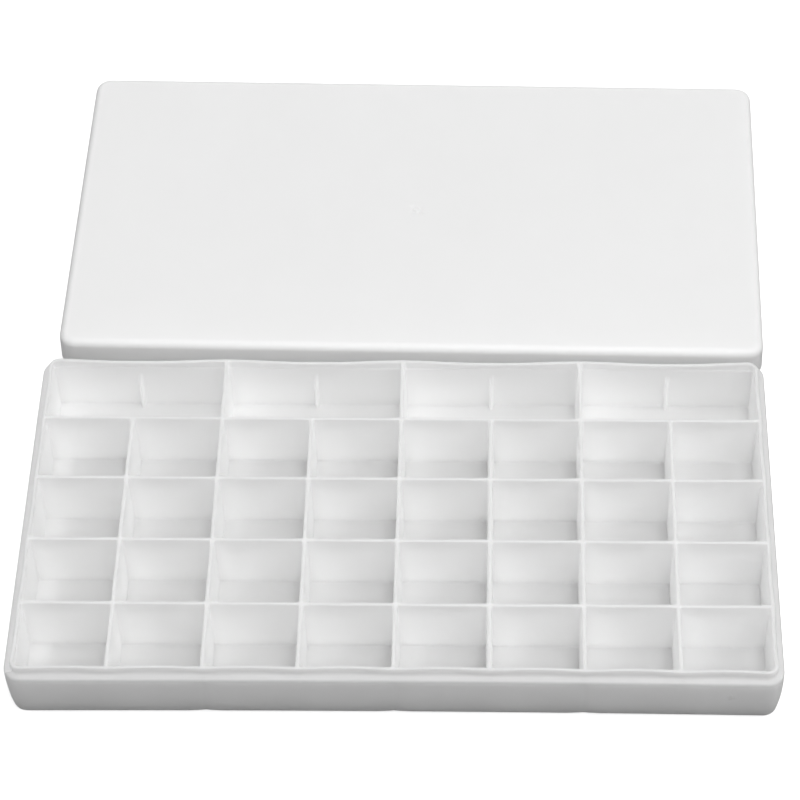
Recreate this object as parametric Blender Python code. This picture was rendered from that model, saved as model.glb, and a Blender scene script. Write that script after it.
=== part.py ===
"""Wet palette: a lidded paint box of white moulded plastic, in two loose pieces.

The tray has four rows of small wells, with a row of double-width wells behind them, all
inside a stepped rim. The lid lies on the table behind the tray, top face up.

Frame: metres, +Z up, the origin at the middle of the tray's underside, +X to the right and
+Y from the front row of wells towards the lid.
"""
import math

import bmesh
import bpy
from mathutils import Vector

MM = 0.001

# --- driving dimensions -----------------------------------------------------------------
WIDTH = 255 * MM              # tray and lid, along X
DEPTH = 138 * MM              # tray and lid, along Y
CORNER_RADIUS = 6 * MM        # plan corners of tray and lid

TRAY_HEIGHT = 23.6 * MM       # underside to the top of the lip
LEDGE_HEIGHT = 20.4 * MM      # underside to the ledge that carries the lid
LEDGE_WIDTH = 2.2 * MM        # outer wall to the outside of the lip
LIP_THICKNESS = 1.3 * MM
FOOT_LEAN = 1.0 * MM          # how far the outer wall leans in from the ledge to the foot
FOOT_RADIUS = 3 * MM          # edge between the outer wall and the underside

COLUMNS = 8
ROWS = 5                      # the rearmost row has the double-width wells
WALL_THICKNESS = 1.3 * MM     # walls between wells, at their tops
WALL_LEAN = 0.35 * MM         # how far each wall face leans out from its top to the floor
ROW_PITCH = 26.5 * MM         # the rows of small wells; the rearmost row takes what is left
WELL_FLOOR = 1.1 * MM         # underside to the floor of the wells
WELL_RADIUS = 0.6 * MM        # upright corners and floor edges of a well

RIB_THICKNESS = 1.4 * MM      # stub rib halfway along the back wall of a double well
RIB_REACH = 1.8 * MM
RIB_DROP = 6.0 * MM           # top of the lip down to the top of the rib

LID_HEIGHT = 12.5 * MM
LID_PANEL = 1.5 * MM          # thickness of the lid's flat top
LID_TOP_RADIUS = 2.8 * MM
SKIRT_WALL = 1.8 * MM         # the part of the skirt that stands over the ledge
SHOULDER_WALL = 2.8 * MM      # the skirt above the tray's lip
SHOULDER_HEIGHT = 3.3 * MM
LID_GAP = 12.7 * MM           # back of the tray to the front of the lid
LID_SHIFT = 2.8 * MM          # the lid lies a little to the right of the tray
LID_TURN = math.radians(-0.8)

# --- worked out from them ---------------------------------------------------------------
LIP_INSET = LEDGE_WIDTH + LIP_THICKNESS / 2      # outer wall to the middle of the lip
COLUMN_PITCH = (WIDTH - 2 * LIP_INSET) / COLUMNS
LID_PLACE = Vector((LID_SHIFT, DEPTH + LID_GAP, 0))

CUT_MARGIN = 4 * MM           # how far a cutter runs past the face that it opens
OVERLAP = 0.5 * MM            # how far two joined blocks run into each other
WHITE = (0.91, 0.91, 0.91)


def clear_scene():
    for item in list(bpy.data.objects):
        bpy.data.objects.remove(item, do_unlink=True)


def new_collection(name):
    collection = bpy.data.collections.new(name)
    bpy.context.scene.collection.children.link(collection)
    return collection


def plastic(name, colour, roughness):
    material = bpy.data.materials.new(name)
    material.use_nodes = True
    shader = material.node_tree.nodes["Principled BSDF"]
    shader.inputs["Base Color"].default_value = (*colour, 1)
    shader.inputs["Roughness"].default_value = roughness
    shader.inputs["Metallic"].default_value = 0
    return material


def add_block(shape, size, base, lean=0.0):
    """Add a box that stands on base, the middle of its foot, leaning in by lean at the foot."""
    verts = bmesh.ops.create_cube(shape, size=1)["verts"]
    for vert in verts:
        at_foot = vert.co.z < 0
        for axis in (0, 1):
            half = size[axis] / 2 - (lean if at_foot else 0)
            vert.co[axis] = math.copysign(half, vert.co[axis])
        vert.co.z = 0 if at_foot else size[2]
    bmesh.ops.translate(shape, verts=verts, vec=base)
    return verts


def edges_of(verts, upright=False, height=None):
    """The upright edges among these corners, or the level ones at a height."""
    chosen = []
    for edge in {edge for vert in verts for edge in vert.link_edges}:
        heights = [vert.co.z for vert in edge.verts]
        is_upright = abs(heights[0] - heights[1]) > OVERLAP
        is_at_height = height is not None and max(abs(z - height) for z in heights) < 0.1 * MM
        if is_upright == upright and (upright or is_at_height):
            chosen.append(edge)
    return chosen


def round_off(shape, edges, radius, segments):
    bmesh.ops.bevel(shape, geom=edges, offset=radius, segments=segments, profile=0.5,
                    affect="EDGES", clamp_overlap=True)


def rounded_block(size, base, corner_radius, corner_segments=4, lean=0.0, edge_height=None,
                  edge_radius=0.0, edge_segments=3):
    """A box with rounded upright edges and, at edge_height, one rounded level edge."""
    shape = bmesh.new()
    verts = add_block(shape, size, base, lean)
    round_off(shape, edges_of(verts, upright=True), corner_radius, corner_segments)
    if edge_height is not None:
        round_off(shape, edges_of(shape.verts, height=edge_height), edge_radius, edge_segments)
    return shape


def to_object(shape, name, collection):
    mesh = bpy.data.meshes.new(name)
    bmesh.ops.recalc_face_normals(shape, faces=shape.faces)
    shape.to_mesh(mesh)
    shape.free()
    item = bpy.data.objects.new(name, mesh)
    collection.objects.link(item)
    return item


def combine(item, tool, operation):
    """Join a tool to an object or cut it away, and keep the tool out of sight."""
    modifier = item.modifiers.new(tool.name, "BOOLEAN")
    modifier.operation = operation
    modifier.solver = "EXACT"
    modifier.object = tool
    tool.hide_render = True
    tool.display_type = "WIRE"


def row_walls():
    """Y of the middles of the lips and row walls, from the front lip to the back lip."""
    front = -DEPTH / 2 + LIP_INSET
    return [*(front + row * ROW_PITCH for row in range(ROWS)), -front]


def well_spans():
    """Each well as (low x, high x, low y, high y) at the level of the wall tops."""
    half = WALL_THICKNESS / 2
    left = -COLUMNS / 2 * COLUMN_PITCH
    walls = row_walls()
    for row in range(ROWS):
        step = 2 if row == ROWS - 1 else 1
        for column in range(0, COLUMNS, step):
            low_x = left + column * COLUMN_PITCH
            high_x = low_x + step * COLUMN_PITCH
            yield low_x + half, high_x - half, walls[row] + half, walls[row + 1] - half


def add_well(shape, span):
    """A cutter for one well: it leans in to the floor, and runs out past the wall tops."""
    low_x, high_x, low_y, high_y = span
    depth = TRAY_HEIGHT - WELL_FLOOR
    past = 1 + CUT_MARGIN / depth        # the cutter keeps its slope above the wall tops
    grow = 2 * WALL_LEAN * (past - 1)
    size = (high_x - low_x + grow, high_y - low_y + grow, depth * past)
    base = ((low_x + high_x) / 2, (low_y + high_y) / 2, WELL_FLOOR)
    well = bmesh.new()
    verts = add_block(well, size, base, WALL_LEAN * past)
    round_off(well, edges_of(verts, upright=True) + edges_of(verts, height=WELL_FLOOR),
              WELL_RADIUS, 2)
    bmesh.ops.recalc_face_normals(well, faces=well.faces)
    mesh = bpy.data.meshes.new("well")
    well.to_mesh(mesh)
    well.free()
    shape.from_mesh(mesh)
    bpy.data.meshes.remove(mesh)


def add_stub_ribs(shape):
    """One short upright rib on the back wall of each double well, halfway along it."""
    back_wall = row_walls()[-1] - WALL_THICKNESS / 2
    height = TRAY_HEIGHT - RIB_DROP - WELL_FLOOR + OVERLAP
    for column in range(1, COLUMNS, 2):
        x = (column - COLUMNS / 2) * COLUMN_PITCH
        size = (RIB_THICKNESS, RIB_REACH + OVERLAP, height)
        middle = back_wall - WALL_LEAN + OVERLAP - size[1] / 2
        add_block(shape, size, (x, middle, WELL_FLOOR - OVERLAP))


def build_tray(parts, tools, material):
    body = rounded_block((WIDTH, DEPTH, LEDGE_HEIGHT), (0, 0, 0), CORNER_RADIUS, lean=FOOT_LEAN,
                         edge_height=0, edge_radius=FOOT_RADIUS)
    tray = to_object(body, "tray", parts)

    inset = 2 * LEDGE_WIDTH
    size = (WIDTH - inset, DEPTH - inset, TRAY_HEIGHT - LEDGE_HEIGHT + OVERLAP)
    lip = rounded_block(size, (0, 0, LEDGE_HEIGHT - OVERLAP), CORNER_RADIUS - LEDGE_WIDTH)
    combine(tray, to_object(lip, "lip_block", tools), "UNION")

    wells = bmesh.new()
    for span in well_spans():
        add_well(wells, span)
    combine(tray, to_object(wells, "well_cutters", tools), "DIFFERENCE")

    ribs = bmesh.new()
    add_stub_ribs(ribs)
    combine(tray, to_object(ribs, "stub_ribs", tools), "UNION")
    tray.data.materials.append(material)
    return tray


def build_lid(parts, tools, material):
    """The lid is built at the origin, rim down, and then laid in its place."""
    outside = rounded_block((WIDTH, DEPTH, LID_HEIGHT), (0, 0, 0), CORNER_RADIUS,
                            edge_height=LID_HEIGHT, edge_radius=LID_TOP_RADIUS)
    lid = to_object(outside, "lid", parts)

    bottom = -CUT_MARGIN
    for wall, top, name in ((SKIRT_WALL, SHOULDER_HEIGHT, "rim_cutter"),
                            (SHOULDER_WALL, LID_HEIGHT - LID_PANEL, "inside_cutter")):
        size = (WIDTH - 2 * wall, DEPTH - 2 * wall, top - bottom)
        inside = rounded_block(size, (0, 0, bottom), CORNER_RADIUS - wall)
        tool = to_object(inside, name, tools)
        combine(lid, tool, "DIFFERENCE")
        tool.parent = lid
    lid.data.materials.append(material)
    lid.location = LID_PLACE
    lid.rotation_euler = (0, 0, LID_TURN)
    return lid


def build_palette():
    clear_scene()
    parts = new_collection("wet_palette")
    tools = new_collection("cutters")
    build_tray(parts, tools, plastic("tray_plastic", WHITE, 0.4))
    build_lid(parts, tools, plastic("lid_plastic", WHITE, 0.4))


build_palette()
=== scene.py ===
"""Looks of the wet palette: two white plastic mouldings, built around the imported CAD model.

Every length is in metres, in the CAD frame: the origin is in the middle of the tray's
underside, +X runs to the right and +Y from the front row of wells towards the lid.
Overall sizes come from the frame. The rest repeat the design's own dimensions, or give the
fine form that its plain solids leave out.
"""
import math

import bmesh
import bpy
from mathutils import Matrix, Vector


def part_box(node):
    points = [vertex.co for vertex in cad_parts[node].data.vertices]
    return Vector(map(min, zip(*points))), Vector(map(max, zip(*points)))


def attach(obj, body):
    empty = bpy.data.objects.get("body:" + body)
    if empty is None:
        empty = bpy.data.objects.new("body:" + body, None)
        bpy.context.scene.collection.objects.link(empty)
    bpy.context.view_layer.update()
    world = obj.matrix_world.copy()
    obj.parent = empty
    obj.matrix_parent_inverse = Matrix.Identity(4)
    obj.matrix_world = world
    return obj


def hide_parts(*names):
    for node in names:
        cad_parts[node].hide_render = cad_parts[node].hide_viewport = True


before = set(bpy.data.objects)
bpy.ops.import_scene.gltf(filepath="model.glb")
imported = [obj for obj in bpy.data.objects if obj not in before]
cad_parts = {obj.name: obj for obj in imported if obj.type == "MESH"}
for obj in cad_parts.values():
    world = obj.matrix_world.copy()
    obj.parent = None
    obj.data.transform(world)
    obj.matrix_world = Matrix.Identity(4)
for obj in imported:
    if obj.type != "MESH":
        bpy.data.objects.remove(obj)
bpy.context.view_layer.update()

MM = 0.001

# --- sizes read from the frame ----------------------------------------------------------
TRAY_LOW, TRAY_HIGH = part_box("tray")
LID_LOW, LID_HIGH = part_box("lid")
WIDTH = TRAY_HIGH.x - TRAY_LOW.x
DEPTH = TRAY_HIGH.y - TRAY_LOW.y
TRAY_HEIGHT = TRAY_HIGH.z
LID_HEIGHT = LID_HIGH.z
LID_PLACE = Vector(((LID_LOW.x + LID_HIGH.x) / 2, (LID_LOW.y + LID_HIGH.y) / 2, 0))

# --- the design's own dimensions --------------------------------------------------------
LEDGE_HEIGHT = 20.4 * MM
LIP_INSET = 2.85 * MM        # outer wall to the middle of the lip
LIP_THICKNESS = 1.3 * MM
CORNER_RADIUS = 6 * MM       # plan corners of tray and lid
COLUMNS = 8
ROWS = 5                     # the rearmost row has the double-width wells
ROW_PITCH = 26.5 * MM
WALL_THICKNESS = 1.3 * MM
WALL_LEAN = 0.35 * MM        # each wall face, from its top to the floor
WELL_FLOOR = 1.1 * MM
WELL_RADIUS = 0.6 * MM       # upright corners and floor edges of a well
RIB_THICKNESS = 1.4 * MM
RIB_REACH = 1.8 * MM
RIB_DROP = 6.0 * MM          # top of the lip down to the top of a stub rib
LID_TURN = math.radians(-0.8)
LID_PANEL = 1.5 * MM
LID_TOP_RADIUS = 2.8 * MM
SKIRT_WALL = 1.8 * MM
SHOULDER_WALL = 2.8 * MM
SHOULDER_HEIGHT = 3.3 * MM

COLUMN_PITCH = (WIDTH - 2 * LIP_INSET) / COLUMNS
HALF_WALL = WALL_THICKNESS / 2
RIB_TOP = TRAY_HEIGHT - RIB_DROP

# --- fine form, plainer or missing on the CAD solids ------------------------------------
FOOT_LEAN = 1.6 * MM         # how far the outer wall leans in from the ledge to the foot
FOOT_CURVE = 3               # 1 for a straight wall; above 1 it leans in more towards the foot
FOOT_RADIUS = 1.7 * MM
TOP_ROUND = 0.55 * MM        # rounded top edges of lip and walls
LEAD_IN = 0.6 * MM           # outer top edge of the lip, which leads the lid on
LIP_HOLLOW = 1.0 * MM        # cove at the foot of the lip
LEDGE_ROUND = 1.1 * MM       # outer edge of the ledge
LEDGE_FALL = 0.1 * MM        # the ledge falls a little from the lip to that edge
SMALL_ROUND = 0.35 * MM      # edges of the lid's rim
RIB_ROUND = 4.0 * MM         # height over which a stub rib's top tapers into the wall
STEP_IN = 0.3 * MM           # the outer walls thicken inwards below the lip
STEP_FALL = 0.4 * MM         # height over which they do
WAVE_FRONT = 0.45 * MM       # how far the lip is drawn in between the walls
WAVE_BACK = 0.95 * MM
WAVE_SIDE = 0.3 * MM
WAVE_SHOULDER = 0.42         # of the way from one wall to the next
WAVE_BAND = 2 * MM           # full wave within this of the lip's middle, none beyond twice it
BOW_FRONT = 0.7 * MM         # the front side is warped inwards, most in its middle
BOW_REACH = 4 * MM           # full bow within this of the lip's middle, none beyond twice it
SINK_DEPTH = 0.35 * MM       # sink marks on the outer walls, behind the full-depth walls
SINK_WIDTH = 2.0 * MM
SINK_BAND = 3 * MM           # only this near the front and back of the tray
UNDER_RECESS = 0.4 * MM      # the underside stands on a low rim
UNDER_RIM = 8 * MM
LID_DRAFT = 0.25 * MM
LID_SAG = 0.15 * MM          # the middle of the lid's panel lies a little low
GATE_PROFILE = ((2.4, 0), (2.0, -0.2), (1.2, -0.3), (0.95, -0.05), (0.8, 0.1), (0.4, 0.12))   # mm

# --- mesh density -----------------------------------------------------------------------
CORNER_STEPS = 6             # faces around an upright corner; an even number
STRAIGHT_X = 7               # faces along the straight part of a well's side
STRAIGHT_Y = 6
FILLET_STEPS = 4
LID_STEPS_X = 32
LID_STEPS_Y = 18

# Sides of a loop, in order: front, right, back, left. Corner k is where side k starts.
ALONG = (Vector((1, 0)), Vector((0, 1)), Vector((-1, 0)), Vector((0, -1)))
INWARD = (Vector((0, 1)), Vector((-1, 0)), Vector((0, -1)), Vector((1, 0)))

WELL_REACH = 1.6 * MM                         # wall crossing to the start of the straight
LIP_REACH = CORNER_RADIUS - LIP_INSET         # the same at the four corners of the lip
LIP_REACH_FALL = 6 * MM                       # depth over which the lip's corners sharpen
LEAST_RADIUS = 0.2 * MM                       # of a well's corner while they do
# Outline of a stub rib as shares of half its thickness and of its reach.
RIB_OUTLINE = ((-1.6, 0), (-1, 0.55), (-0.55, 0.92), (0, 1), (0.55, 0.92), (1, 0.55), (1.6, 0))


def smooth(t):
    """0 below 0, 1 above 1, and an even S between."""
    t = min(max(t, 0), 1)
    return t * t * (3 - 2 * t)


def quarter(steps):
    """Sine and cosine of the angles that divide a quarter turn, without its start."""
    for step in range(1, steps + 1):
        angle = math.pi / 2 * step / steps
        yield math.sin(angle), math.cos(angle)


def spread(low, high, count):
    """Points that divide the way from low to high, without its ends."""
    return [low + (high - low) * step / count for step in range(1, count)]


class Skin:
    """Points and faces of one moulding while it is being laid out."""

    def __init__(self):
        self.points = []
        self.faces = []

    def row(self, points, z):
        first = len(self.points)
        self.points.extend((point.x, point.y, z) for point in points)
        return list(range(first, len(self.points)))

    def bridge(self, rows):
        """Join each closed row to the next one."""
        for upper, lower in zip(rows, rows[1:]):
            for index in range(len(upper)):
                before = index - 1
                self.faces.append((upper[before], upper[index], lower[index], lower[before]))

    def fill(self, row):
        self.faces.append(tuple(row))

    def finish(self, name, settle, material):
        """Weld everything into one closed mesh, move its points by settle, and shade it."""
        mesh = bpy.data.meshes.new(name)
        mesh.from_pydata(self.points, [], self.faces)
        shape = bmesh.new()
        shape.from_mesh(mesh)
        bmesh.ops.remove_doubles(shape, verts=shape.verts, dist=2e-6)
        for vert in shape.verts:
            vert.co = settle(vert.co.copy())
        bmesh.ops.recalc_face_normals(shape, faces=shape.faces)
        shape.to_mesh(mesh)
        shape.free()
        mesh.shade_smooth()
        mesh.materials.append(material)
        item = bpy.data.objects.new(name, mesh)
        bpy.context.scene.collection.objects.link(item)
        item.modifiers.new("even_shading", "WEIGHTED_NORMAL")
        return item


# --- loops ------------------------------------------------------------------------------
def corners_of(span):
    low_x, high_x, low_y, high_y = span
    return (Vector((low_x, low_y)), Vector((high_x, low_y)),
            Vector((high_x, high_y)), Vector((low_x, high_y)))


def rounded_corner(corner, side, insets, reach):
    """Points from the side before a corner around to this side."""
    before = side - 1
    centre = corner + reach * (INWARD[before] + INWARD[side])
    for step in range(CORNER_STEPS + 1):
        angle = math.pi / 2 * step / CORNER_STEPS
        yield (centre - INWARD[before] * (reach - insets[before]) * math.cos(angle)
               - INWARD[side] * (reach - insets[side]) * math.sin(angle))


def square_corner(corner, side, reach):
    """The same number of points, along the middles of two walls that cross."""
    for step in range(CORNER_STEPS + 1):
        way = 2 * step / CORNER_STEPS - 1
        towards = INWARD[side] if way < 0 else INWARD[side - 1]
        yield corner + towards * reach * abs(way)


def loop(span, insets, reaches, stops, square=()):
    """A level loop inside a span. Stops are (distance along a side, bulge inwards)."""
    points = []
    for side, corner in enumerate(corners_of(span)):
        if side in square:
            points.extend(square_corner(corner, side, reaches[side]))
        else:
            points.extend(rounded_corner(corner, side, insets, reaches[side]))
        for distance, bulge in stops[side]:
            points.append(corner + ALONG[side] * distance + INWARD[side] * (insets[side] + bulge))
    return points


def joint_stops(middle, rib_reach):
    """Stops where a wall, or a stub rib of some reach, meets a side."""
    if rib_reach is not None:
        half = RIB_THICKNESS / 2
        return [(middle + share * half, reach * rib_reach) for share, reach in RIB_OUTLINE]
    half = CORNER_STEPS // 2
    return [(middle + WELL_REACH * step / half, 0) for step in range(-half, half + 1)]


def side_stops(lengths, steps, rib_reach=None):
    """Stops along a side that passes cells of these lengths."""
    stops = []
    start = 0
    for length in lengths:
        if start > 0:
            stops.extend(joint_stops(start, rib_reach))
        even = spread(start + WELL_REACH, start + length - WELL_REACH, steps)
        stops.extend((distance, 0) for distance in even)
        start += length
    return stops


# --- the tray ---------------------------------------------------------------------------
def wall_lines():
    """X and Y of the middles of the lips and of the walls between wells."""
    left = -COLUMNS / 2 * COLUMN_PITCH
    front = -DEPTH / 2 + LIP_INSET
    across = [left + column * COLUMN_PITCH for column in range(COLUMNS + 1)]
    return across, [*(front + row * ROW_PITCH for row in range(ROWS)), -front]


ACROSS, UPWARD = wall_lines()
CELL_DEPTHS = [high - low for low, high in zip(UPWARD, UPWARD[1:])]
LIP_SPAN = (ACROSS[0], ACROSS[-1], UPWARD[0], UPWARD[-1])


def wall_inset(z, at_rim):
    """From the middle of a wall's top to its face at a height."""
    lean = WALL_LEAN * (TRAY_HEIGHT - z) / (TRAY_HEIGHT - WELL_FLOOR)
    step = STEP_IN * smooth((LEDGE_HEIGHT - z) / STEP_FALL + 0.5) if at_rim else 0
    return HALF_WALL + lean + step


def corner_reach(z, at_rim_corner, inset):
    """From the crossing of two sides to the ends of the arc that joins them."""
    reach = inset + WELL_RADIUS
    if at_rim_corner:
        fall = smooth((TRAY_HEIGHT - z) / LIP_REACH_FALL)
        reach = max(LIP_REACH + (reach - LIP_REACH) * fall, inset + LEAST_RADIUS)
    return reach


def well_profile():
    """A well's wall from the top down: (height, how far its face stands back from true)."""
    yield TRAY_HEIGHT, -TOP_ROUND
    for sine, cosine in quarter(FILLET_STEPS):
        yield TRAY_HEIGHT - TOP_ROUND * (1 - cosine), -TOP_ROUND * (1 - sine)
    yield TRAY_HEIGHT - 1.5 * MM, 0
    for share in (0.6, 0.2, -0.2, -0.6):
        yield LEDGE_HEIGHT + share * STEP_FALL, 0
    for z in spread(RIB_TOP + RIB_ROUND / 4, RIB_TOP - 5 / 4 * RIB_ROUND, 6):
        yield z, 0
    fillet_top = WELL_FLOOR + WELL_RADIUS
    for z in spread(RIB_TOP - 3 / 2 * RIB_ROUND, fillet_top, 4):
        yield z, 0
    yield fillet_top, 0
    for sine, cosine in quarter(FILLET_STEPS):
        yield WELL_FLOOR + WELL_RADIUS * (1 - sine), WELL_RADIUS * (1 - cosine)


def add_well(skin, column, row, columns_wide):
    span = (ACROSS[column], ACROSS[column + columns_wide], UPWARD[row], UPWARD[row + 1])
    at_rim = (row == 0, column + columns_wide == COLUMNS, row == ROWS - 1, column == 0)
    at_corner = [at_rim[side] and at_rim[side - 1] for side in range(4)]
    across = side_stops([COLUMN_PITCH] * columns_wide, STRAIGHT_X)
    upward = side_stops([CELL_DEPTHS[row]], STRAIGHT_Y)

    square = [side for side in range(4) if not at_corner[side]]
    reaches = [LIP_REACH if corner else WELL_REACH for corner in at_corner]
    top = loop(span, (0, 0, 0, 0), reaches, (across, upward, across, upward), square)
    rows = [skin.row(top, TRAY_HEIGHT)]
    for z, back in well_profile():
        insets = [wall_inset(z, rim) + back for rim in at_rim]
        reaches = [corner_reach(z, at_corner[side], max(insets[side], insets[side - 1]))
                   for side in range(4)]
        rib_reach = RIB_REACH * smooth((RIB_TOP - z) / RIB_ROUND)
        behind = side_stops([COLUMN_PITCH] * columns_wide, STRAIGHT_X, rib_reach)
        points = loop(span, insets, reaches, (across, upward, behind, upward))
        rows.append(skin.row(points, z))
    skin.bridge(rows)
    skin.fill(rows[-1])


def outer_profile():
    """The tray's outside, from the lip's top to the foot: (out from the lip's middle, height)."""
    lip = LIP_THICKNESS / 2
    yield lip - LEAD_IN, TRAY_HEIGHT
    for sine, cosine in quarter(FILLET_STEPS):
        yield lip - LEAD_IN * (1 - sine), TRAY_HEIGHT - LEAD_IN * (1 - cosine)
    for z in spread(TRAY_HEIGHT - LEAD_IN, LEDGE_HEIGHT + LIP_HOLLOW, 3):
        yield lip, z
    yield lip, LEDGE_HEIGHT + LIP_HOLLOW
    for sine, cosine in quarter(FILLET_STEPS):
        yield lip + LIP_HOLLOW * (1 - cosine), LEDGE_HEIGHT + LIP_HOLLOW * (1 - sine)
    edge = LEDGE_HEIGHT - LEDGE_FALL
    yield LIP_INSET - LEDGE_ROUND, edge
    for sine, cosine in quarter(FILLET_STEPS):
        yield LIP_INSET - LEDGE_ROUND * (1 - sine), edge - LEDGE_ROUND * (1 - cosine)
    for z in [*spread(edge - LEDGE_ROUND, FOOT_RADIUS, 8), FOOT_RADIUS]:
        foot = LIP_INSET - FOOT_LEAN * (1 - z / LEDGE_HEIGHT) ** FOOT_CURVE
        yield foot, z
    for sine, cosine in quarter(2 * FILLET_STEPS):
        yield foot - FOOT_RADIUS * (1 - cosine), FOOT_RADIUS * (1 - sine)


def shrunk(points, inset):
    """A loop around the middle of the tray, drawn in on all sides."""
    across = 1 - 2 * inset / WIDTH
    upward = 1 - 2 * inset / DEPTH
    return [Vector((point.x * across, point.y * upward)) for point in points]


def add_outside(skin):
    across = side_stops([COLUMN_PITCH] * COLUMNS, STRAIGHT_X)
    stops = (across, side_stops(CELL_DEPTHS, STRAIGHT_Y), across,
             side_stops(CELL_DEPTHS[::-1], STRAIGHT_Y))
    rows = []
    for out, z in [(0, TRAY_HEIGHT), *outer_profile()]:
        points = loop(LIP_SPAN, (-out,) * 4, (LIP_REACH,) * 4, stops)
        rows.append(skin.row(points, z))
    rows.append(skin.row(shrunk(points, UNDER_RIM), 0))
    rows.append(skin.row(shrunk(points, UNDER_RIM + UNDER_RECESS), UNDER_RECESS / 2))
    rows.append(skin.row(shrunk(points, UNDER_RIM + 2 * UNDER_RECESS), UNDER_RECESS))
    skin.bridge(rows)
    skin.fill(rows[-1])


def wave(place, lines, pitch):
    """0 at the walls and 1 halfway between them, with soft shoulders."""
    gap = min(abs(place - line) for line in lines)
    return smooth(gap / (WAVE_SHOULDER * pitch))


def rim_wave(point):
    """How far the upstanding lip is drawn in at a point, across and upward."""
    rise = smooth((point.z - LEDGE_HEIGHT + 1 * MM) / (TRAY_HEIGHT - LEDGE_HEIGHT))

    def nearness(line):
        return rise * smooth(2 - abs(line) / WAVE_BAND)

    behind = ACROSS[::2]
    shift_x = nearness(point.x - ACROSS[0]) - nearness(point.x - ACROSS[-1])
    shift_x *= WAVE_SIDE * wave(point.y, UPWARD, ROW_PITCH)
    shift_y = nearness(point.y - UPWARD[0]) * WAVE_FRONT * wave(point.x, ACROSS, COLUMN_PITCH)
    shift_y -= (nearness(point.y - UPWARD[-1]) * WAVE_BACK
                * wave(point.x, behind, 2 * COLUMN_PITCH))
    return Vector((shift_x, shift_y, 0))


def sink_marks(point):
    """Shallow upright hollows on the outer walls where the full-depth walls run into them."""
    on_wall = smooth((LEDGE_HEIGHT - 1 * MM - point.z) / (2 * MM))
    on_wall *= smooth((abs(point.y) - DEPTH / 2 + SINK_BAND) / (1 * MM))
    depth = sum(math.exp(-((point.x - x) / SINK_WIDTH) ** 2) for x in ACROSS[2:-1:2])
    return Vector((0, -math.copysign(SINK_DEPTH * depth * on_wall, point.y), 0))


def front_bow(point):
    """How far the warped front side stands in at a point."""
    near = smooth(2 - (point.y - UPWARD[0]) / BOW_REACH)
    return Vector((0, BOW_FRONT * near * (1 - (2 * point.x / WIDTH) ** 2), 0))


def settle_tray(point):
    return point + rim_wave(point) + front_bow(point) + sink_marks(point)


def build_tray(material):
    skin = Skin()
    for row in range(ROWS):
        wide = 2 if row == ROWS - 1 else 1
        for column in range(0, COLUMNS, wide):
            add_well(skin, column, row, wide)
    add_outside(skin)
    tray = skin.finish("tray_moulding", settle_tray, material)
    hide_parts("tray")
    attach(tray, "tray")
    return tray


# --- the lid ----------------------------------------------------------------------------
def lid_profile():
    """The lid's section from the ceiling around the rim to the top: (inset, height)."""
    ceiling = LID_HEIGHT - LID_PANEL
    yield SHOULDER_WALL + WELL_RADIUS, ceiling
    for sine, cosine in quarter(FILLET_STEPS):
        yield SHOULDER_WALL + WELL_RADIUS * (1 - sine), ceiling - WELL_RADIUS * (1 - cosine)
    yield SHOULDER_WALL, SHOULDER_HEIGHT + SMALL_ROUND
    yield SHOULDER_WALL - SMALL_ROUND, SHOULDER_HEIGHT
    yield SKIRT_WALL, SHOULDER_HEIGHT
    yield SKIRT_WALL, SMALL_ROUND
    for sine, cosine in quarter(FILLET_STEPS):
        yield SKIRT_WALL - SMALL_ROUND * (1 - cosine), SMALL_ROUND * (1 - sine)
    yield SMALL_ROUND, 0
    for sine, cosine in quarter(FILLET_STEPS):
        yield SMALL_ROUND * (1 - sine), SMALL_ROUND * (1 - cosine)
    top = LID_HEIGHT - LID_TOP_RADIUS
    for z in spread(SMALL_ROUND, top, 4):
        yield LID_DRAFT * z / top, z
    yield LID_DRAFT, top
    for sine, cosine in quarter(2 * FILLET_STEPS):
        yield LID_DRAFT + LID_TOP_RADIUS * (1 - cosine), top + LID_TOP_RADIUS * sine


def towards_circle(points, share, radius):
    """A loop on its way to a small circle in the middle."""
    moved = []
    for point in points:
        moved.append(point.lerp(point.normalized() * radius, share))
    return moved


def settle_lid(point):
    """Let the panel sag a little, then lay the lid where it rests."""
    across = 1 - (2 * point.x / WIDTH) ** 2
    upward = 1 - (2 * point.y / DEPTH) ** 2
    above = smooth((point.z - LID_HEIGHT / 2) / (LID_HEIGHT / 3))
    point.z -= LID_SAG * max(across * upward, 0) * above
    return Matrix.Translation(LID_PLACE) @ Matrix.Rotation(LID_TURN, 4, "Z") @ point


def build_lid(material):
    skin = Skin()
    span = (-WIDTH / 2, WIDTH / 2, -DEPTH / 2, DEPTH / 2)
    across = [(stop, 0) for stop in spread(CORNER_RADIUS, WIDTH - CORNER_RADIUS, LID_STEPS_X)]
    upward = [(stop, 0) for stop in spread(CORNER_RADIUS, DEPTH - CORNER_RADIUS, LID_STEPS_Y)]
    stops = (across, upward, across, upward)
    rows = []
    for inset, z in lid_profile():
        points = loop(span, (inset,) * 4, (CORNER_RADIUS,) * 4, stops)
        rows.append(skin.row(points, z))
    for share in (0.08, 0.25, 0.45, 0.65, 0.8, 0.92, 0.98):
        inner = towards_circle(points, share, GATE_PROFILE[0][0] * MM)
        rows.append(skin.row(inner, LID_HEIGHT))
    for radius, rise in GATE_PROFILE:
        circle = towards_circle(points, 1, radius * MM)
        rows.append(skin.row(circle, LID_HEIGHT + rise * MM))
    skin.bridge(rows)
    skin.fill(rows[0])
    skin.fill(rows[-1])
    lid = skin.finish("lid_moulding", settle_lid, material)
    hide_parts("lid")
    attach(lid, "lid")
    return lid


# --- materials --------------------------------------------------------------------------
PLASTIC = (0.985, 0.985, 0.985)
PLASTIC_SHADE = (0.975, 0.975, 0.973)
FLOOR_WHITE = (0.97, 0.97, 0.97, 1)
SPECK_GREY = (0.55, 0.55, 0.54)
# Painted shade: the ledge is drawn grey where it lies darker in the light than the other tops.
LEDGE_PAINTED_SHADE = (0.74, 0.74, 0.74)
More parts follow.
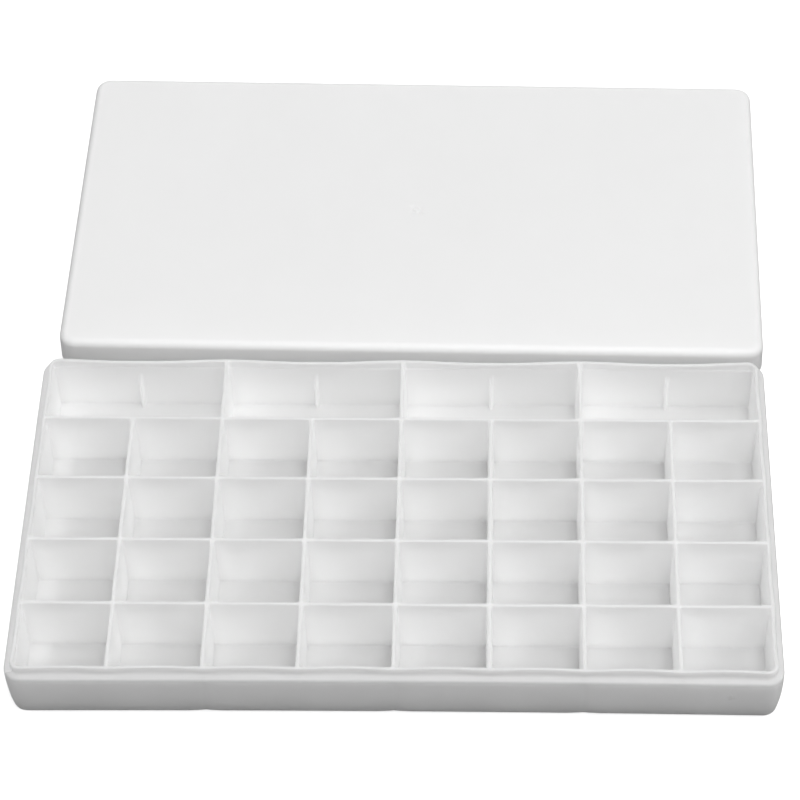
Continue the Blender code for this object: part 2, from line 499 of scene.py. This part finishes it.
# Where the painted shade on the ledge fades in and out: out from the tray's side, and heights below
# and above.
LEDGE_EDGE = (-3.4 * MM, -3.2 * MM)
LEDGE_FOOT = (18.5 * MM, 19.5 * MM)
LEDGE_HEAD = (21.5 * MM, 23 * MM)
# How far light goes in, and the share that does, up to one height and from another one upwards.
# The tray's share is smaller low down to stand in for a white table, which would give back what
# the thin floors let through.
TRAY_TRANSLUCENCY = (8 * MM, 0.5, 0.9)
LID_TRANSLUCENCY = (4 * MM, 0.4, 0.4)
SHARE_LOW_TO = 1.5 * MM
SHARE_HIGH_FROM = 6 * MM
# Blemishes in the tray's plastic, as places, radii and strengths: one on the front wall and
# one in a well.
TRAY_SPECKS = ((Vector((110.3, -68.7, 12.5)) * MM, 1.8 * MM, 0.3),
               (Vector((-38.5, -42, 7)) * MM, 0.6 * MM, 0.6))


class Shading:
    """A new Principled material and short calls for wiring its nodes."""

    def __init__(self, name):
        self.material = bpy.data.materials.new(name)
        self.material.use_nodes = True
        self.tree = self.material.node_tree
        self.shader = self.tree.nodes["Principled BSDF"]

    def node(self, kind, **inputs):
        node = self.tree.nodes.new(kind)
        for key, value in inputs.items():
            socket = node.inputs[key.replace("_", " ")]
            if isinstance(value, bpy.types.NodeSocket):
                self.tree.links.new(value, socket)
            else:
                socket.default_value = value
        return node

    def link(self, output, name):
        self.tree.links.new(output, self.shader.inputs[name])

    def place(self):
        return self.node("ShaderNodeTexCoord").outputs["Object"]

    def noise(self, scale, detail, stretch=(1, 1, 1), shift=(0, 0, 0)):
        mapping = self.node("ShaderNodeMapping", Vector=self.place(), Scale=stretch,
                            Location=shift)
        texture = self.node("ShaderNodeTexNoise", Vector=mapping.outputs["Vector"],
                            Scale=scale, Detail=detail)
        return texture.outputs["Fac"]

    def math(self, operation, first, second=0):
        node = self.tree.nodes.new("ShaderNodeMath")
        node.operation = operation
        for socket, value in zip(node.inputs, (first, second)):
            if isinstance(value, bpy.types.NodeSocket):
                self.tree.links.new(value, socket)
            else:
                socket.default_value = value
        return node.outputs["Value"]

    def remap(self, value, from_low, from_high, to_low, to_high):
        node = self.node("ShaderNodeMapRange", Value=value)
        node.inputs["From Min"].default_value = from_low
        node.inputs["From Max"].default_value = from_high
        node.inputs["To Min"].default_value = to_low
        node.inputs["To Max"].default_value = to_high
        return node.outputs["Result"]

    def rising(self, low, high, at_low, at_high):
        """A value that changes between two heights above the table."""
        apart = self.node("ShaderNodeSeparateXYZ", Vector=self.place())
        return self.remap(apart.outputs["Z"], low, high, at_low, at_high)

    def painted_shade_on_ledge(self):
        """Mask of the painted shade: 1 on the tray's ledge in front, behind and on the right, and 0
        elsewhere.
        """
        apart = self.node("ShaderNodeSeparateXYZ", Vector=self.place())
        across = self.math("SUBTRACT", apart.outputs["X"], WIDTH / 2)
        upward = self.math("SUBTRACT", self.math("ABSOLUTE", apart.outputs["Y"]), DEPTH / 2)
        beyond = self.math("MAXIMUM", across, upward)
        outside = self.remap(beyond, *LEDGE_EDGE, 0, 1)
        above = self.remap(apart.outputs["Z"], *LEDGE_FOOT, 0, 1)
        below = self.remap(apart.outputs["Z"], *LEDGE_HEAD, 1, 0)
        return self.math("MULTIPLY", outside, self.math("MULTIPLY", above, below))

    def mix(self, factor, first, second):
        node = self.tree.nodes.new("ShaderNodeMix")
        node.data_type = "RGBA"
        self.tree.links.new(factor, node.inputs["Factor"])
        for socket, value in ((node.inputs[6], first), (node.inputs[7], second)):
            if isinstance(value, bpy.types.NodeSocket):
                self.tree.links.new(value, socket)
            else:
                socket.default_value = (*value, 1)
        return node.outputs[2]

    def speck(self, place, radius, strength):
        """Strength in a small soft-edged spot around a place, and 0 away from it."""
        away = self.node("ShaderNodeVectorMath")
        away.operation = "DISTANCE"
        self.tree.links.new(self.place(), away.inputs[0])
        away.inputs[1].default_value = place
        ragged = self.remap(self.noise(900, 2), 0.3, 0.7, -0.3 * radius, 0.3 * radius)
        edge = self.math("ADD", away.outputs["Value"], ragged)
        return self.remap(edge, 0.4 * radius, radius, strength, 0)

    def bump(self, height, distance, strength, normal=None):
        node = self.node("ShaderNodeBump", Height=height, Distance=distance, Strength=strength)
        if normal is not None:
            self.tree.links.new(normal, node.inputs["Normal"])
        return node.outputs["Normal"]


def plastic(name, shift, translucency, specks=(), painted_ledge_shade=False):
    """Satin white plastic with faint flow, mould texture, a few handling marks and, if asked, painted
    shade on the ledge.
    """
    look = Shading(name)
    cloud = look.remap(look.noise(14, 3, shift=shift), 0.35, 0.65, 0, 1)
    colour = look.mix(cloud, PLASTIC_SHADE, PLASTIC)
    for place, radius, strength in specks:
        colour = look.mix(look.speck(place, radius, strength), colour, SPECK_GREY)
    if painted_ledge_shade:
        # Painted shade: grey on the ledge in front, behind and on the right, where it lies darker in
        # the light.
        colour = look.mix(look.painted_shade_on_ledge(), colour, LEDGE_PAINTED_SHADE)
    look.link(colour, "Base Color")
    handling = look.noise(60, 6, shift=shift)
    look.link(look.remap(handling, 0.3, 0.7, 0.36, 0.5), "Roughness")
    grain = look.bump(look.noise(2600, 2, shift=shift), 0.00002, 0.35)
    ripple = look.bump(look.noise(45, 1, shift=shift), 0.0004, 0.25, grain)
    look.link(ripple, "Normal")
    shader = look.shader
    shader.inputs["Metallic"].default_value = 0
    shader.inputs["IOR"].default_value = 1.49
    shader.inputs["Subsurface Radius"].default_value = (1, 1, 1)
    reach, low, high = translucency
    shader.inputs["Subsurface Scale"].default_value = reach
    if low == high:
        shader.inputs["Subsurface Weight"].default_value = high
    else:
        share = look.rising(SHARE_LOW_TO, SHARE_HIGH_FROM, low, high)
        look.link(share, "Subsurface Weight")
    return look.material


# --- stage, lights, camera --------------------------------------------------------------
FLOOR_RADIUS = 4.0
FLOOR_GREY = (0.15, 0.15, 0.15, 1)
FLOOR_GLOW = 0.45
LIGHT_DISTANCE = 3.0
LIGHT_SIZE = 1.4
LIT_PLACE = Vector((0, 0.07, 0))          # between the middles of tray and lid
CAMERA_PLACE = Vector((32.9, -611.9, 810.6)) * MM
CAMERA_YAW = math.radians(1.09)
CAMERA_TILT = math.radians(40.0)
CAMERA_ROLL = math.radians(-0.5)
CAMERA_LENS = 132.3          # on the default sensor, 36 mm wide
CAMERA_SHIFT = -0.075        # the photograph frames the palette a little off the lens's axis


def stage_disc(name, colour, glow, height):
    mesh = bpy.data.meshes.new(name)
    shape = bmesh.new()
    bmesh.ops.create_circle(shape, cap_ends=True, radius=FLOOR_RADIUS, segments=96)
    shape.to_mesh(mesh)
    shape.free()
    look = Shading(name + "_paint")
    look.shader.inputs["Base Color"].default_value = colour
    look.shader.inputs["Emission Color"].default_value = colour
    look.shader.inputs["Emission Strength"].default_value = glow
    look.shader.inputs["Roughness"].default_value = 0.9
    mesh.materials.append(look.material)
    disc = bpy.data.objects.new(name, mesh)
    disc.location.z = height
    bpy.context.scene.collection.objects.link(disc)
    return disc


def build_floor():
    """A near-white floor to look at, and a grey one under it that throws light back up."""
    floor = stage_disc("floor", FLOOR_WHITE, FLOOR_GLOW, 0)
    floor.visible_diffuse = False
    floor.visible_glossy = False
    floor.visible_transmission = False
    floor.visible_shadow = False
    bounce = stage_disc("floor_bounce", FLOOR_GREY, 0, -0.2 * MM)
    bounce.visible_camera = False


def area_light(name, bearing, rise, power):
    """A round soft light. Bearing runs from +X towards +Y, and rise from the floor up, in degrees."""
    bearing, rise = math.radians(bearing), math.radians(rise)
    away = Vector((math.cos(rise) * math.cos(bearing), math.cos(rise) * math.sin(bearing),
                   math.sin(rise)))
    data = bpy.data.lights.new(name, "AREA")
    data.shape = "DISK"
    data.size = LIGHT_SIZE
    data.energy = power
    light = bpy.data.objects.new(name, data)
    light.location = LIT_PLACE + away * LIGHT_DISTANCE
    light.rotation_euler = away.to_track_quat("Z", "Y").to_euler()
    bpy.context.scene.collection.objects.link(light)
    return light


def build_lights():
    """A dome of soft boxes, so that no shadow has a hard edge."""
    area_light("over", 0, 80, 18)
    area_light("front", 270, 60, 29)
    area_light("right", 0, 35, 26)
    back = area_light("back", 90, 30, 25)
    back.visible_glossy = False      # it stands so low that it would glare on the lid
    area_light("left", 180, 25, 25)
    area_light("front_right", 315, 40, 16)
    world = bpy.data.worlds.new("studio")
    world.use_nodes = True
    background = world.node_tree.nodes["Background"]
    background.inputs["Color"].default_value = (1, 1, 1, 1)
    background.inputs["Strength"].default_value = 0.02
    bpy.context.scene.world = world


def build_camera():
    data = bpy.data.cameras.new("camera")
    data.lens = CAMERA_LENS
    data.shift_x = CAMERA_SHIFT
    camera = bpy.data.objects.new("camera", data)
    turn = (Matrix.Rotation(CAMERA_YAW, 4, "Z") @ Matrix.Rotation(CAMERA_TILT, 4, "X")
            @ Matrix.Rotation(CAMERA_ROLL, 4, "Z"))
    camera.matrix_world = Matrix.Translation(CAMERA_PLACE) @ turn
    bpy.context.scene.collection.objects.link(camera)
    bpy.context.scene.camera = camera


build_camera()
build_floor()
build_lights()
build_tray(plastic("tray_plastic_look", (0, 0, 0), TRAY_TRANSLUCENCY, TRAY_SPECKS, painted_ledge_shade=True))
build_lid(plastic("lid_plastic_look", (3, 1, 0), LID_TRANSLUCENCY))
bpy.context.scene.view_settings.view_transform = "Standard"
